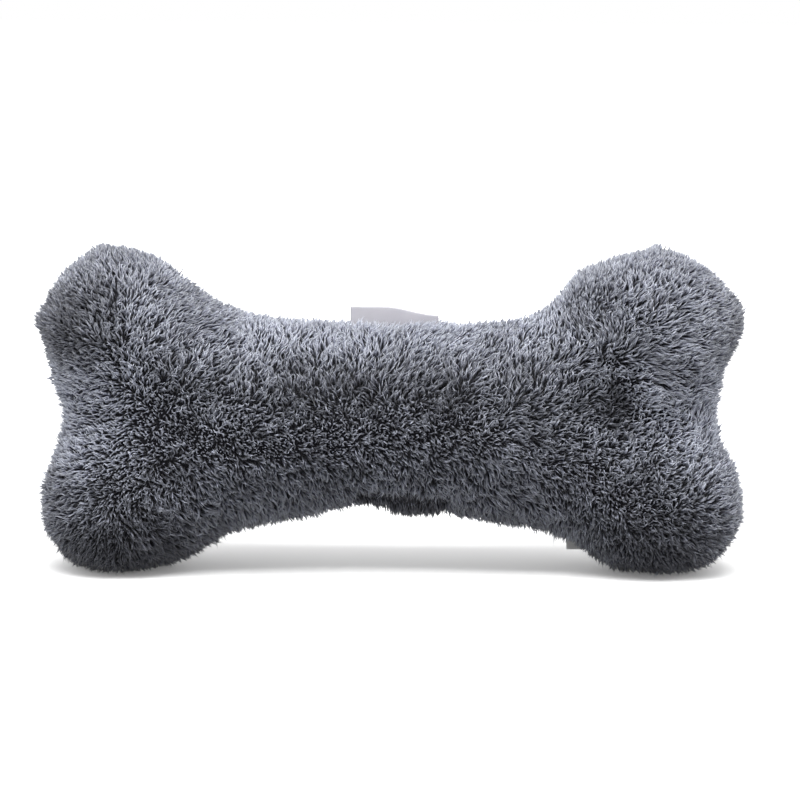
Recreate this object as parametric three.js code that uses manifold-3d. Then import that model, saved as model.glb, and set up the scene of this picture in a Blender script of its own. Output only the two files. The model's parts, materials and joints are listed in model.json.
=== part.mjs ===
import * as THREE from 'three';
import { mergeVertices } from 'three/addons/utils/BufferGeometryUtils.js';
import Module from 'manifold-3d';

// Bone-shaped plush dog toy, standing on edge on its two lower knuckles.
// Millimetres. X runs along the bone, the front faces -Y, Z is up and the floor is Z = 0.
// Two pile panels meet in a seam round the middle plane, over five packed forms of stuffing.

// Shaft: half sizes of its round section, where its waist lies, and half the length that runs straight
const shaftHalfHeight = 39;
const shaftHalfDepth = 33;
const shaftCentreHeight = 66.5;
const shaftWaistPlace = -8;
const shaftStraightHalf = 44.5;

// Knuckles: how far out and how high each centre lies, and half its width and height
const upperLeftOut = 118.5;
const upperLeftHeight = 108;
const upperLeftHalfWidth = 30;
const upperLeftHalfHeight = 31;
const upperRightOut = 113.5;
const upperRightHeight = 110;
const upperRightHalfWidth = 34;
const upperRightHalfHeight = 29.5;
const lowerLeftOut = 118;
const lowerLeftHeight = 25.5;
const lowerLeftHalfWidth = 30;
const lowerLeftHalfHeight = 29;
const lowerRightOut = 115;
const lowerRightHeight = 28;
const lowerRightHalfWidth = 35;
const lowerRightHalfHeight = 31.5;
const knuckleHalfDepth = 34;

// How softly the forms flow into one another, and into the patches pressed flat by the floor
const blendReach = 22;
const pressReach = 2;
const footCut = 0.5;

// Plush panel: woven backing with its pile standing on it
const pileLength = 5;
const backingThickness = 1;

// Fits: the meeting rims of the panels, and everything that lies against its neighbour
const seamGap = 0.3;
const clearance = 0.3;

// Spacing of the faces that follow the rounded skin, and the step that feels for its slope
const skinSpacing = 12.5;
const slopeStep = 0.02;

// How far every cutting block runs past what it cuts
const cutOverrun = 12;

// Stuffing: it leaves a groove for the seam, and the shaft's form ends in a dome in each pair of knuckles
const hemGrooveDepth = 4;
const hemGrooveHalfWidth = 1.5;
const coreHalfLength = 84;
const coreHalfHeight = 52;
const coreHalfDepth = 56;
const knuckleSplitHeight = 67;

// Thread: one run inside the seam, and a wavy run that shuts the stuffing opening
const threadRadius = 0.5;
const closingStart = -20;
const closingEnd = 38;
const closingWave = 10;
const closingSwing = 2.5;
const closingTroughHalfWidth = 5;
const stitchSteps = 8;
const threadSides = 6;

// Top label: a folded loop of ribbon in the top seam, and how far it stands out of the pile
const labelCentre = 1.3;
const labelWidth = 37.7;
const labelShown = 5.6;
const ribbonThickness = 0.5;
const ribbonFoldGap = 0.5;

// Care label: a narrow folded tag in the seam, low on the right of the arch, sewn in askew by an
// angle in degrees, so that its inner corner stands out most
const tagCentre = 79.1;
const tagWidth = 10.1;
const tagShown = 0.8;
const tagHeld = 4.3;
const tagSkewDegrees = 20;
const tagRibbonThickness = 0.3;
const tagFoldGap = 0.4;

// Squeaker: a moulded bulb with one crease, whose neck points to the back
const squeakerPlace = 1.3;
const bulbRadius = 23;
const bulbHalfDepth = 13;
const bulbWall = 1.2;
const neckRadius = 7;
const neckLength = 7;
const reedTubeLength = 11;
const reedFlangeThickness = 1.6;
const reedBoreRadius = 3;
const reedThickness = 0.5;
const reedWidth = 5.2;
const reedLength = 9;
const latheSides = 24;
const domeAround = 28;
const domeUp = 18;

// Outline of the bulb from its front pole to its shoulder, as shares of its radius and half depth
const bulbOutlineShares = [
  [0, -1], [0.42, -0.96], [0.78, -0.74], [1, -0.34], [0.84, 0], [1, 0.34], [0.78, 0.74], [0.42, 0.96],
];

// Values worked out from the sizes above
const wall = pileLength + backingThickness;
const fillDepth = wall + clearance;
const seamThreadDepth = fillDepth + threadRadius + clearance;
const closingThreadDepth = pileLength - threadRadius - clearance;
const neckBore = neckRadius - bulbWall;
const neckEnd = bulbHalfDepth + neckLength;

const wasm = await Module();
wasm.setup();

const lobes = [
  {
    name: 'fill_knuckle_upper_left',
    x: -upperLeftOut, z: upperLeftHeight, halfWidth: upperLeftHalfWidth, halfHeight: upperLeftHalfHeight,
  },
  {
    name: 'fill_knuckle_upper_right',
    x: upperRightOut, z: upperRightHeight, halfWidth: upperRightHalfWidth, halfHeight: upperRightHalfHeight,
  },
  {
    name: 'fill_knuckle_lower_left',
    x: -lowerLeftOut, z: lowerLeftHeight, halfWidth: lowerLeftHalfWidth, halfHeight: lowerLeftHalfHeight,
  },
  {
    name: 'fill_knuckle_lower_right',
    x: lowerRightOut, z: lowerRightHeight, halfWidth: lowerRightHalfWidth, halfHeight: lowerRightHalfHeight,
  },
];

// About how far a point lies from an ellipsoid, negative inside it
function ellipsoidDistance(x, y, z, a, b, c) {
  const near = Math.hypot(x / a, y / b, z / c);
  const slope = Math.hypot(x / (a * a), y / (b * b), z / (c * c));
  return slope > 0 ? (near * (near - 1)) / slope : -Math.min(a, b, c);
}

// About how far a point lies from the toy's skin, negative inside it
function skinDistance(x, y, z) {
  const alongShaft = Math.max(Math.abs(x - shaftWaistPlace) - shaftStraightHalf, 0);
  const upShaft = z - shaftCentreHeight;
  const distances = lobes.map(
    (lobe) => ellipsoidDistance(x - lobe.x, y, z - lobe.z, lobe.halfWidth, knuckleHalfDepth, lobe.halfHeight),
  );
  distances.push(ellipsoidDistance(alongShaft, y, upShaft, shaftHalfHeight, shaftHalfDepth, shaftHalfHeight));
  const nearest = Math.min(...distances);
  const crowd = distances.reduce((sum, d) => sum + Math.exp((nearest - d) / blendReach), 0);
  const blended = nearest - blendReach * Math.log(crowd);
  const underFloor = -(z + footCut);
  const most = Math.max(blended, underFloor);
  const press = Math.exp((blended - most) / pressReach) + Math.exp((underFloor - most) / pressReach);
  return most + pressReach * Math.log(press);
}

function skinSlope(p) {
  const d = slopeStep;
  return new THREE.Vector3(
    skinDistance(p.x + d, p.y, p.z) - skinDistance(p.x - d, p.y, p.z),
    skinDistance(p.x, p.y + d, p.z) - skinDistance(p.x, p.y - d, p.z),
    skinDistance(p.x, p.y, p.z + d) - skinDistance(p.x, p.y, p.z - d),
  ).divideScalar(2 * d);
}

// Moves a point onto the skin along the skin's slope
function settleOnSkin(p) {
  for (let pass = 0; pass < 4; pass += 1) {
    const slope = skinSlope(p);
    p.addScaledVector(slope, -skinDistance(p.x, p.y, p.z) / slope.lengthSq());
  }
  return p;
}

function sunk(p, depth) {
  return p.clone().addScaledVector(skinSlope(p).normalize(), -depth);
}

// The rounded skin as points and triangles: one point in each grid cell that the skin crosses,
// and two triangles across each grid edge that it crosses
function makeSkin() {
  const reachX = Math.max(...lobes.map((lobe) => Math.abs(lobe.x) + lobe.halfWidth)) + blendReach;
  const reachY = Math.max(knuckleHalfDepth, shaftHalfDepth) + blendReach;
  const reachZ = Math.max(...lobes.map((lobe) => lobe.z + lobe.halfHeight)) + blendReach;
  const stepsX = Math.ceil(reachX / skinSpacing);
  const stepsY = Math.ceil(reachY / skinSpacing);
  const stepsZ = Math.ceil(reachZ / skinSpacing);
  const counts = [2 * stepsX + 1, 2 * stepsY + 1, stepsZ + 2];
  const corner = (cell) => new THREE.Vector3(
    (cell[0] - stepsX) * skinSpacing,
    (cell[1] - stepsY) * skinSpacing,
    (cell[2] - 1 / 2) * skinSpacing - footCut,
  );
  const key = (cell) => (cell[0] * counts[1] + cell[1]) * counts[2] + cell[2];
  const distanceAt = new Map();
  const eachCell = (visit) => {
    for (let i = 0; i < counts[0]; i += 1) {
      for (let j = 0; j < counts[1]; j += 1) {
        for (let k = 0; k < counts[2]; k += 1) visit([i, j, k]);
      }
    }
  };
  eachCell((cell) => {
    const p = corner(cell);
    distanceAt.set(key(cell), skinDistance(p.x, p.y, p.z));
  });
  const moved = (cell, axis, by) => cell.map((value, index) => (index === axis ? value + by : value));
  const crossings = new Map();
  const triangles = [];
  const addCrossing = (cell, p) => {
    const found = crossings.get(key(cell)) ?? { sum: new THREE.Vector3(), count: 0, index: crossings.size };
    found.sum.add(p);
    found.count += 1;
    crossings.set(key(cell), found);
    return found.index;
  };
  eachCell((cell) => {
    for (let axis = 0; axis < 3; axis += 1) {
      const next = moved(cell, axis, 1);
      const here = distanceAt.get(key(cell));
      const there = distanceAt.get(key(next));
      if (next[axis] >= counts[axis] || (here < 0) === (there < 0)) continue;
      const p = corner(cell).lerp(corner(next), here / (here - there));
      const u = (axis + 1) % 3;
      const v = (axis + 2) % 3;
      const around = [cell, moved(cell, u, -1), moved(moved(cell, u, -1), v, -1), moved(cell, v, -1)];
      const [a, b, c, d] = around.map((near) => addCrossing(near, p));
      if (here < 0) triangles.push(a, b, c, a, c, d);
      else triangles.push(a, c, b, a, d, c);
    }
  });
  const points = [...crossings.values()].map((found) => settleOnSkin(found.sum.divideScalar(found.count)));
  return { points, triangles };
}

function solidFromArrays(positions, indices) {
  const mesh = new wasm.Mesh({
    numProp: 3,
    vertProperties: Float32Array.from(positions),
    triVerts: Uint32Array.from(indices),
  });
  return new wasm.Manifold(mesh);
}

function solidFromGeometry(source) {
  const geometry = source.clone();
  geometry.deleteAttribute('normal');
  geometry.deleteAttribute('uv');
  const merged = mergeVertices(geometry);
  return solidFromArrays(merged.attributes.position.array, merged.index.array);
}

function sunkSkin(skin, depth) {
  return solidFromArrays(skin.points.flatMap((p) => sunk(p, depth).toArray()), skin.triangles);
}

// A box between two opposite corners
function block(low, high) {
  const size = new THREE.Vector3().subVectors(high, low);
  const geometry = new THREE.BoxGeometry(size.x, size.y, size.z);
  const middle = new THREE.Vector3().addVectors(low, high).divideScalar(2);
  return solidFromGeometry(geometry.translate(middle.x, middle.y, middle.z));
}

function meshFromSolid(name, solid, material) {
  const { vertProperties, triVerts } = solid.getMesh();
  const geometry = new THREE.BufferGeometry();
  geometry.setAttribute('position', new THREE.BufferAttribute(Float32Array.from(vertProperties), 3));
  geometry.setIndex(Array.from(triVerts));
  geometry.computeVertexNormals();
  return meshFromGeometry(name, geometry, material);
}

function meshFromGeometry(name, geometry, material) {
  const mesh = new THREE.Mesh(geometry, material);
  mesh.name = name;
  return mesh;
}

const skin = makeSkin();
const outer = sunkSkin(skin, 0);
const corners = new THREE.Box3().setFromPoints(skin.points).expandByScalar(cutOverrun);
const { min: low, max: high } = corners;

// Where the faces of the sunk skin cross the middle plane, in order round the toy
function seamLine(depth) {
  const points = skin.points.map((p) => sunk(p, depth));
  const crossings = [];
  for (let corner = 0; corner < skin.triangles.length; corner += 1) {
    const a = skin.triangles[corner];
    const b = skin.triangles[corner % 3 === 2 ? corner - 2 : corner + 1];
    const [from, to] = [points[a], points[b]];
    const once = a < b && (from.y < 0) !== (to.y < 0);
    if (once) crossings.push(from.clone().lerp(to, from.y / (from.y - to.y)));
  }
  const line = [crossings.pop()];
  while (crossings.length > 0) {
    const reach = crossings.map((p) => p.distanceTo(line.at(-1)));
    line.push(...crossings.splice(reach.indexOf(Math.min(...reach)), 1));
  }
  return line;
}

// A point of the skin straight above or below the shaft's middle, found by halving the way to it
function skinTowards(end, x, y) {
  let inside = shaftCentreHeight;
  let outside = end;
  for (let pass = 0; pass < 24; pass += 1) {
    const middle = (inside + outside) / 2;
    if (skinDistance(x, y, middle) < 0) inside = middle;
    else outside = middle;
  }
  return new THREE.Vector3(x, y, inside);
}

const labelSkinHeight = skinTowards(high.z, labelCentre, 0).z;
const labelRoot = new THREE.Vector3(labelCentre, 0, labelSkinHeight - wall);
const tagFoot = skinTowards(low.z, tagCentre, 0);
const tagRoot = sunk(tagFoot, tagHeld);
const tagSkew = THREE.MathUtils.degToRad(tagSkewDegrees);
const tagTurn = Math.atan2(tagFoot.x - tagRoot.x, tagFoot.z - tagRoot.z) - tagSkew;

function threadAlong(points) {
  const section = new THREE.Shape(
    Array.from({ length: threadSides }, (_, side) => {
      const angle = (2 * Math.PI * side) / threadSides;
      return new THREE.Vector2(threadRadius * Math.cos(angle), threadRadius * Math.sin(angle));
    }),
  );
  const extrudePath = new THREE.CurvePath();
  points.slice(1).forEach((p, index) => extrudePath.add(new THREE.LineCurve3(points[index], p)));
  return new THREE.ExtrudeGeometry(section, { steps: points.length, extrudePath, bevelEnabled: false });
}

// Wavy stitches across the seam, under the middle of the shaft
function closingThread() {
  const waves = Math.round((closingEnd - closingStart) / closingWave);
  const steps = waves * stitchSteps;
  const points = Array.from({ length: steps + 1 }, (_, step) => {
    const share = step / steps;
    const x = closingStart + share * (closingEnd - closingStart);
    const y = closingSwing * Math.sin(2 * Math.PI * waves * share);
    return sunk(skinTowards(low.z, x, y), closingThreadDepth);
  });
  return threadAlong(points);
}

// Trough in the pile where the closing stitches pull the rims together
function closingTrough() {
  const ends = threadRadius + 2 * clearance;
  const zone = block(
    new THREE.Vector3(closingStart - ends, -closingTroughHalfWidth, low.z),
    new THREE.Vector3(closingEnd + ends, closingTroughHalfWidth, shaftCentreHeight),
  );
  return outer.subtract(sunkSkin(skin, pileLength)).intersect(zone);
}

// A ribbon folded once, as a U whose fold lies at its tip
function foldedRibbon(width, length, thickness, foldGap) {
  const half = thickness + foldGap / 2;
  const outline = new THREE.Shape([
    new THREE.Vector2(-half, 0),
    new THREE.Vector2(-foldGap / 2, 0),
    new THREE.Vector2(-foldGap / 2, length - thickness - foldGap / 2),
    new THREE.Vector2(0, length - thickness),
    new THREE.Vector2(foldGap / 2, length - thickness - foldGap / 2),
    new THREE.Vector2(foldGap / 2, 0),
    new THREE.Vector2(half, 0),
    new THREE.Vector2(half, length - half),
    new THREE.Vector2(foldGap / 2, length),
    new THREE.Vector2(-foldGap / 2, length),
    new THREE.Vector2(-half, length - half),
  ]);
  const geometry = new THREE.ExtrudeGeometry(outline, { depth: width, steps: 1, bevelEnabled: false });
  return geometry.translate(0, 0, -width / 2).rotateY(Math.PI / 2).rotateX(Math.PI / 2);
}

// The slit between the rims that a ribbon passes through, upright on its root and turned about it
function ribbonSlit(root, turn, width, thickness, foldGap, length) {
  const halfWidth = width / 2 + clearance;
  const halfThickness = thickness + foldGap / 2 + clearance;
  const upright = block(
    new THREE.Vector3(-halfWidth, -halfThickness, -clearance),
    new THREE.Vector3(halfWidth, halfThickness, length + cutOverrun),
  );
  return upright.rotate([0, THREE.MathUtils.radToDeg(turn), 0]).translate([root.x, root.y, root.z]);
}

function covers() {
  const underFloor = block(
    new THREE.Vector3(low.x, low.y, low.z - cutOverrun),
    new THREE.Vector3(high.x, high.y, 0),
  );
  const labelLength = wall + labelShown;
  const tagLength = tagHeld + tagShown;
  const shell = outer
    .subtract(sunkSkin(skin, wall))
    .subtract(underFloor)
    .subtract(closingTrough())
    .subtract(ribbonSlit(labelRoot, 0, labelWidth, ribbonThickness, ribbonFoldGap, labelLength))
    .subtract(ribbonSlit(tagRoot, tagTurn, tagWidth, tagRibbonThickness, tagFoldGap, tagLength));
  const ahead = new THREE.Vector3(high.x, -seamGap / 2, high.z);
  const behind = new THREE.Vector3(low.x, seamGap / 2, low.z);
  return { front: shell.intersect(block(low, ahead)), back: shell.intersect(block(behind, high)) };
}

function dome(grown) {
  const geometry = new THREE.SphereGeometry(1, domeAround, domeUp);
  geometry.scale(coreHalfLength + grown, coreHalfDepth + grown, coreHalfHeight + grown);
  return solidFromGeometry(geometry.translate(0, 0, shaftCentreHeight));
}

function squeakerPocket() {
  const back = high.y;
  const profile = [
    new THREE.Vector2(0, -bulbHalfDepth - clearance),
    new THREE.Vector2(bulbRadius + clearance, -bulbHalfDepth - clearance),
    new THREE.Vector2(bulbRadius + clearance, bulbHalfDepth + clearance),
    new THREE.Vector2(neckRadius + clearance, bulbHalfDepth + clearance),
    new THREE.Vector2(neckRadius + clearance, back),
    new THREE.Vector2(0, back),
  ];
  const geometry = new THREE.LatheGeometry(profile, latheSides);
  return solidFromGeometry(geometry.translate(squeakerPlace, 0, shaftCentreHeight));
}

// Stuffing: the shaft's form is the largest and cuts the four knuckle forms
function stuffing() {
  const grooveZone = block(
    new THREE.Vector3(low.x, -hemGrooveHalfWidth, low.z),
    new THREE.Vector3(high.x, hemGrooveHalfWidth, high.z),
  );
  const core = sunkSkin(skin, fillDepth + hemGrooveDepth);
  const grooved = sunkSkin(skin, fillDepth).subtract(grooveZone).add(core);
  const forms = new Map([['fill_shaft', grooved.intersect(dome(0)).subtract(squeakerPocket())]]);
  const ends = grooved.subtract(dome(clearance));
  lobes.forEach((lobe) => {
    const left = lobe.x < 0;
    const upper = lobe.z > knuckleSplitHeight;
    const split = knuckleSplitHeight + (upper ? clearance / 2 : -clearance / 2);
    const quarter = block(
      new THREE.Vector3(left ? low.x : 0, low.y, upper ? split : low.z),
      new THREE.Vector3(left ? 0 : high.x, high.y, upper ? high.z : split),
    );
    forms.set(lobe.name, ends.intersect(quarter));
  });
  return forms;
}

function squeakerBulb() {
  const outside = bulbOutlineShares.map(
    ([across, along]) => new THREE.Vector2(across * bulbRadius, along * bulbHalfDepth),
  );
  const inside = bulbOutlineShares.map(
    ([across, along]) => new THREE.Vector2(across * (bulbRadius - bulbWall), along * (bulbHalfDepth - bulbWall)),
  );
  const neck = [
    new THREE.Vector2(neckRadius, bulbHalfDepth),
    new THREE.Vector2(neckRadius, neckEnd),
    new THREE.Vector2(neckBore, neckEnd),
    new THREE.Vector2(neckBore, bulbHalfDepth - bulbWall),
  ];
  return new THREE.LatheGeometry([...outside, ...neck, ...inside.reverse()], latheSides);
}

function reedHousing() {
  const tubeStart = neckEnd + clearance - reedTubeLength;
  const flangeStart = neckEnd + clearance;
  const flangeEnd = flangeStart + reedFlangeThickness;
  const tubeRadius = neckBore - clearance;
  const profile = [
    new THREE.Vector2(reedBoreRadius, tubeStart),
    new THREE.Vector2(tubeRadius, tubeStart),
    new THREE.Vector2(tubeRadius, flangeStart),
    new THREE.Vector2(neckRadius, flangeStart),
    new THREE.Vector2(neckRadius, flangeEnd),
    new THREE.Vector2(reedBoreRadius, flangeEnd),
    new THREE.Vector2(reedBoreRadius, tubeStart),
  ];
  return new THREE.LatheGeometry(profile, latheSides);
}

const colours = {
  plush: new THREE.MeshStandardMaterial({ color: 0x6b6c76, roughness: 0.95, metalness: 0 }),
  plushBack: new THREE.MeshStandardMaterial({ color: 0x5f606a, roughness: 0.95, metalness: 0 }),
  satin: new THREE.MeshStandardMaterial({ color: 0xb9b8bf, roughness: 0.45, metalness: 0 }),
  careTag: new THREE.MeshStandardMaterial({ color: 0xf2f2f0, roughness: 0.6, metalness: 0 }),
  thread: new THREE.MeshStandardMaterial({ color: 0x4a4b54, roughness: 0.8, metalness: 0 }),
  bulb: new THREE.MeshStandardMaterial({ color: 0xe9e7df, roughness: 0.4, metalness: 0 }),
  reedTube: new THREE.MeshStandardMaterial({ color: 0xdadada, roughness: 0.35, metalness: 0 }),
  reed: new THREE.MeshStandardMaterial({ color: 0xc9ced6, roughness: 0.3, metalness: 0 }),
};

const toy = new THREE.Group();
const panels = covers();
toy.add(meshFromSolid('front_cover', panels.front, colours.plush));
toy.add(meshFromSolid('back_cover', panels.back, colours.plushBack));

stuffing().forEach((solid, name) => {
  const stuffed = new THREE.MeshStandardMaterial({ color: 0xf1f0ec, roughness: 1, metalness: 0 });
  toy.add(meshFromSolid(name, solid, stuffed));
});

toy.add(meshFromGeometry('seam_thread', threadAlong(seamLine(seamThreadDepth)), colours.thread));
toy.add(meshFromGeometry('closing_thread', closingThread(), colours.thread.clone()));

const topLabel = meshFromGeometry(
  'top_label',
  foldedRibbon(labelWidth, wall + labelShown, ribbonThickness, ribbonFoldGap),
  colours.satin,
);
topLabel.position.copy(labelRoot);
toy.add(topLabel);

const careLabel = meshFromGeometry(
  'care_label',
  foldedRibbon(tagWidth, tagHeld + tagShown, tagRibbonThickness, tagFoldGap),
  colours.careTag,
);
careLabel.rotation.y = tagTurn;
careLabel.position.copy(tagRoot);
toy.add(careLabel);

const squeaker = new THREE.Group();
squeaker.position.set(squeakerPlace, 0, shaftCentreHeight);
squeaker.add(meshFromGeometry('squeaker_bulb', squeakerBulb(), colours.bulb));
squeaker.add(meshFromGeometry('squeaker_reed_housing', reedHousing(), colours.reedTube));
const reedBlade = new THREE.BoxGeometry(reedWidth, reedLength, reedThickness);
const reed = meshFromGeometry('squeaker_reed', reedBlade, colours.reed);
reed.position.y = neckEnd - reedTubeLength / 2 + clearance;
squeaker.add(reed);
toy.add(squeaker);

export default toy;
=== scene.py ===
import json
import math

import bmesh
import bpy
import numpy as np
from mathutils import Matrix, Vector, kdtree, noise


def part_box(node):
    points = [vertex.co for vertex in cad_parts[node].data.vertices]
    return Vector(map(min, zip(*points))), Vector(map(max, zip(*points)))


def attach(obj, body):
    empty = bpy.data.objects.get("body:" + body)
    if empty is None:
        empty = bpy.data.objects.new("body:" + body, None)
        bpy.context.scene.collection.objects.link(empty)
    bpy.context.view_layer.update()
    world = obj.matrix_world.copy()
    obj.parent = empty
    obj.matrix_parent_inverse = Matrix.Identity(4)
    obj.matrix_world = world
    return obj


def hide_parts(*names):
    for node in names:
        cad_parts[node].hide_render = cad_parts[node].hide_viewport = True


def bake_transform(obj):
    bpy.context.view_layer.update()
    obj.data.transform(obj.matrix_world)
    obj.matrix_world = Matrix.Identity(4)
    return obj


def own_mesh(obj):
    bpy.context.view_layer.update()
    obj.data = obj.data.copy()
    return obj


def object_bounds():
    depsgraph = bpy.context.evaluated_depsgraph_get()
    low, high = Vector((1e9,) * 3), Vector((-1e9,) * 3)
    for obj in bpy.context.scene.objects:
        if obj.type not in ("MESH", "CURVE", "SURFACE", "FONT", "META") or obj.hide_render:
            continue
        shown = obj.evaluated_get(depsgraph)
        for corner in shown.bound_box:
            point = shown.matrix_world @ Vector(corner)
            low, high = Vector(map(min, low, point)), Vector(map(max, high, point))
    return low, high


# Bone-shaped plush dog toy. Metres; X runs along the bone, the front faces -Y and Z is up.
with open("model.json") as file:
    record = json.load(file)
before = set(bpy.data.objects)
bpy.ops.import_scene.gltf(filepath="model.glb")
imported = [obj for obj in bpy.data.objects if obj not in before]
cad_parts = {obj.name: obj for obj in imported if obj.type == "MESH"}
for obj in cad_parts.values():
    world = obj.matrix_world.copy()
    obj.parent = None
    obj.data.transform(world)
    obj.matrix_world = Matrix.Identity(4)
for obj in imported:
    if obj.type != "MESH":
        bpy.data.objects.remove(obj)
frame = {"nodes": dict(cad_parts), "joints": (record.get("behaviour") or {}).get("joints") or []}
cad_box = [list(corner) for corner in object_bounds()]
toy_low, toy_high = (np.array(corner) for corner in cad_box)

# Skin that the tips of the pile reach: a round shaft and four knuckles that flow into one another
SHAFT_HALF_HEIGHT = 0.039
SHAFT_HALF_DEPTH = 0.033
SHAFT_CENTRE_HEIGHT = 0.0665
SHAFT_WAIST_PLACE = -0.008
SHAFT_STRAIGHT_HALF = 0.0445
KNUCKLE_HALF_DEPTH = 0.034
BLEND_REACH = 0.022
PRESS_REACH = 0.002
FOOT_CUT = 0.0005
# Each knuckle: where its centre lies along the bone and up, and half its width and height
KNUCKLES = [
    (-0.1185, 0.108, 0.030, 0.031),
    (0.1135, 0.110, 0.034, 0.0295),
    (-0.118, 0.0255, 0.030, 0.029),
    (0.115, 0.028, 0.035, 0.0315),
]
SLOPE_STEP = 0.00002
SETTLING_PASSES = 4
GRID_MARGIN = 2
TINY = 1e-9

# Panels: knitted backing under the pile, and the hem turned in at the seam
PILE_DEPTH = 0.005
BACKING_THICKNESS = 0.0008
BACKING_CELL = 0.003
SEAM_GAP = 0.0003
HEM_DEPTH = 0.004
HEM_SPREAD = 0.0011
HEM_SPREAD_HALF_WIDTH = 0.02

# Pile: locks of fibres that stand on the backing
LOCK_SPACING = 0.00088
SEARCH_REACH = 2
TRIES_PER_PLACE = 1.8
LOCKS_KEPT = 0.95
LOCK_RADIUS = 0.00032
FIBRES_PER_LOCK = 3
FIBRE_WIDTH = 0.00040
FIBRE_LENGTH = 0.0056
ROOT_SINK = 0.0003
PANEL_COLUMNS = 9
FLOOR_REST = 0.0003
SEED = 7

# Fibre: its sides, the places of its rings and its tip along it, how wide each ring is, and how much
# of the colour map's width one fibre takes
FIBRE_SIDES = 3
STATIONS = np.array([0.0, 0.62, 1.0])
FIBRE_WIDTH_SHARES = np.array([0.8, 1.1])
FIBRE_MAP_WIDTH = 0.01

# Lay of the pile: lean in degrees of a fibre that stands and how much more of one that lies flat,
# its length, and how a fibre's lean grows from root to tip
STANDING_LEAN = 24
LEAN_GAIN = 48
MOST_LEAN = math.radians(84)
ROOT_LEAN_SHARE = 0.35
STANDING_LENGTH = 0.75
LENGTH_GAIN = 0.42
LOCK_DRAW_IN = 0.75

# Disorder from lock to lock and from fibre to fibre: spreads of the random draws, and the lay at
# which the turning and curling of locks would end
FINE_TURN_END = 1.35
LOCK_TURN_SPREAD = 0.36
LOCK_TURN_END = 1.4
LOCK_LAY_SPREAD = 0.08
LOCK_LENGTH_SPREAD = 0.13
RIM_LENGTH_SPREAD = 0.16
LOCK_CURL_SPREAD = 1.0
LOCK_CURL_END = 1.3
FIBRE_LENGTH_SPREAD = 0.12
FIBRE_LEAN_SPREAD = 0.05
FIBRE_CURL_SPREAD = 0.07
FIBRE_KINK = 0.00006

# Tone of the locks, from 0 dark to 1 pale: the middle, its spread low down, how much less that is
# high up, its spread from fibre to fibre, and the share of the patches that the back panel has
MIDDLE_TONE = 0.5
LOCK_TONE_SPREAD = 0.28
HIGH_TONE_CALM = 0.1
FIBRE_TONE_SPREAD = 0.09
BACK_PATCH_SHARE = 0.5

# Soft noises: how much each adds, how wide its lumps are, and where in the noise it is read
NOISES = {
    "lumps": (0.0024, 0.022, 53.0),
    "small lumps": (0.0006, 0.008, 61.0),
    "ridge lumps": (0.0022, 0.0045, 83.0),
    "wide turn": (0.8, 0.016, 71.0),
    "middle turn": (0.8, 0.008, 3.0),
    "fine turn": (1.5, 0.0035, 9.0),
    "ridge turn": (2.0, 0.005, 89.0),
    "lay": (0.5, 0.008, 17.0),
    "length": (0.12, 0.012, 29.0),
    "tone": (0.22, 0.014, 41.0),
    "stuffing dents": (0.0007, 0.006, 5.0),
}

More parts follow.
